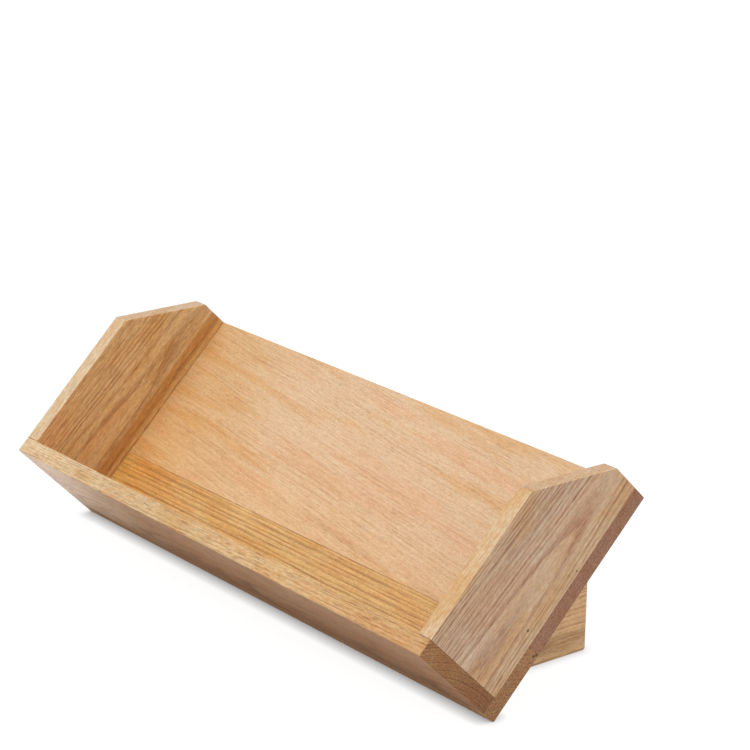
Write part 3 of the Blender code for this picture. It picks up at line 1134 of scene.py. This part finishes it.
# Rift-sawn, so its faces carry straight close lines and its end wide arcs: pale, dark-lined and speckled
BOTTOM_OAK = OakFinish(
    "oiled_rift_sawn_oak_bottom",
    across=((0.0, "#FFEED6"), (0.5, "#FBE4CA"), (1.0, "#EED6BC")),
    front=even("#EBDCC4"),
    # The tint on its underside is painted shade: darker from near the left end toward the right, where the
    # floor below lies in shadow
    rear=((0.08, "#FFFFFF"), (0.3, "#CEAF8C"), (1.0, "#C0A17E")),
    edge=((0.0, "#F0D8B0"), (0.35, "#E6CA9C"), (0.7, "#E9C794"), (0.85, "#E1B880"), (1.0, "#E2BC86")),
    end=((0.0, "#B48652"), (0.4, "#A97B46"), (1.0, "#99693A")),
    early="#A0744A", pore="#765230", blotch="#FAF0E0", pith=(23.0, -90.0), seed=11.0, taper=(0.0, 0.01),
    slant=(1.2, -1.5), ring=1.7, waver=1.2, ring_strength=0.75, edge_rings=0.6, end_rings=1.3,
    pore_strength=1.0, pore_spread=0.7, speck_strength=0.3, bundle=(0.8, 18.0), grit=(0.62, 4.0),
    vessel=(0.8, 20.0), gap=(1.0, 14.0), flecks=(Fleck((6.4, -6.35, -217.9), 1.5),))
# Golden and boldly lined, with chips broken from its end by the saw
LOWER_BACK_OAK = OakFinish(
    "oiled_golden_oak_lower_back",
    # Across, it is a little lighter low down than at the seam: painted light against the shade deep in the
    # trough
    across=((0.0, "#FFE290"), (0.5, "#FFE496"), (0.7, "#FFE190"), (1.0, "#FFDF8D")),
    # Its front tint is lighter near the left end, beside the left panel: painted light against the shade in
    # that corner
    front=((0.04, "#FCEBD7"), (0.07, "#F6DCC6"), (0.12, "#F0D9CD"), (0.25, "#F2E8F5")),
    rear=even("#E9E2E5"),
    edge=even("#E0B47C"),
    end=((0.0, "#B18659"), (1.0, "#B98E61")),
    early="#94622A", pore="#9A6C36", blotch="#F4E2C8", pith=(-60.0, -37.0), seed=23.0, ring=3.0,
    phase=-0.5, waver=1.2, ring_strength=0.8, end_rings=0.45, pore_strength=0.7, pore_spread=0.5,
    bundle=(0.77, 25.0), vessel=(0.77, 18.0), gap=(1.0, 25.0), ripple=(9.0, 100.0),
    # The chips are dark spots, not cut: partly torn wood and partly painted shade of their hollows
    flecks=(Fleck((26.4, 4.9, 240.8), 0.7, "#54300F"), Fleck((26.3, -4.1, 240.8), 0.9, "#54300F"),
            Fleck((23.4, -2.4, 241.0), 0.8, "#54300F"), Fleck((24.7, -3.4, 241.0), 0.5, "#54300F")))
# Quarter-sawn, so fine faint lines run a little across the board, over peach and ochre clouds
UPPER_BACK_OAK = OakFinish(
    "oiled_quarter_sawn_oak_upper_back",
    across=((0.0, "#EDCDA0"), (0.45, "#E9CDA8"), (1.0, "#E6CAA6")),
    front=((0.0, "#FAF0D4"), (0.3, "#FFFFFF")),
    edge=even("#E4BC90"),
    end=((0.0, "#AA8266"), (0.4, "#A27A5F"), (1.0, "#A27A5F")),
    early="#CC9C70", pore="#A88460", mottle=("#FBEEDA", "#FFF4EE"), blotch="#FAF0E4",
    pith=(-150.0, 40.0), seed=37.0, slant=(-6.0, 0.0), ring=2.8, fade=0.15, waver=5.0,
    ring_strength=0.42, pore_strength=0.8, pore_spread=0.75, bundle_strength=0.22, cloud=(16.0, 120.0))
# Flat-sawn and toffee brown, with a pointed figure and one dark band
LEFT_PANEL_OAK = OakFinish(
    "oiled_striped_oak_left_panel",
    across=((0.0, "#E9C289"), (0.8, "#EBC890"), (0.84, "#D19C5A"), (0.92, "#D19C5A"), (0.96, "#E6BB7A")),
    edge=even("#EDD8B4"),
    end=even("#AD7F55"),
    early="#A06E3A", pore="#9A6C3C", blotch="#F9EEDF", pith=(15.0, -40.0), seed=41.0,
    taper=(0.03, -0.012), ring=2.7, phase=-0.62, waver=1.2, end_from=0.68, ring_strength=0.85,
    edge_rings=0.2, pore_strength=0.8, pore_spread=0.5, edge_pores=0.5, bundle_strength=0.36)
# Flat-sawn and grey-tan, with reddish lines closing to points up the panel, and two pin knots
RIGHT_PANEL_OAK = OakFinish(
    "oiled_striped_oak_right_panel",
    across=((0.0, "#D3B896"), (0.25, "#CBB294"), (0.5, "#D3BDA0"), (0.8, "#D5B894"), (1.0, "#D4BA94")),
    edge=even("#EAD2AA"),
    end=even("#A87C60"),
    early="#A8683F", pore="#94704E", blotch="#F8EAD8", pith=(15.0, -38.0), seed=53.0,
    taper=(0.027, -0.026), ring=2.3, phase=-0.9, waver=1.4, end_from=0.68, ring_strength=1.0,
    edge_rings=0.2, pore_strength=0.6, pore_spread=0.45, edge_pores=0.5,
    flecks=(Fleck((37.0, -6.35, 15.3), 0.6), Fleck((30.1, -6.35, -36.7), 0.8)))
# The feet are plain straight-grained offcuts
RIGHT_FOOT_OAK = OakFinish(
    "oiled_oak_right_foot",
    across=((0.0, "#ECCFA2"), (0.5, "#EACC9E"), (1.0, "#E8C898")),
    edge=even("#DDB782"),
    end=even("#A87C55"),
    early="#A0703A", pore="#98703F", blotch="#F2E4D2", pith=(-50.0, 30.0), seed=67.0, ring=2.4,
    waver=1.0, ring_strength=0.75, pore_strength=0.6)
LEFT_FOOT_OAK = replace(RIGHT_FOOT_OAK, name="oiled_oak_left_foot", pith=(60.0, 35.0), seed=79.0)


def main() -> None:
    """Builds the shelf on its CAD frame, then the studio."""
    logging.basicConfig(level=logging.INFO, format="%(name)s: %(message)s")
    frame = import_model()
    tray = Tray()
    Trough(tray).build()
    EndPanels(tray, {Side.LEFT: LEFT_PANEL_OAK, Side.RIGHT: RIGHT_PANEL_OAK}).build()
    Feet(tray, {Side.LEFT: LEFT_FOOT_OAK, Side.RIGHT: RIGHT_FOOT_OAK}).build()
    Dowels(frame["nodes"]).dress()
    Studio().build()


if __name__ == "__main__":
    main()
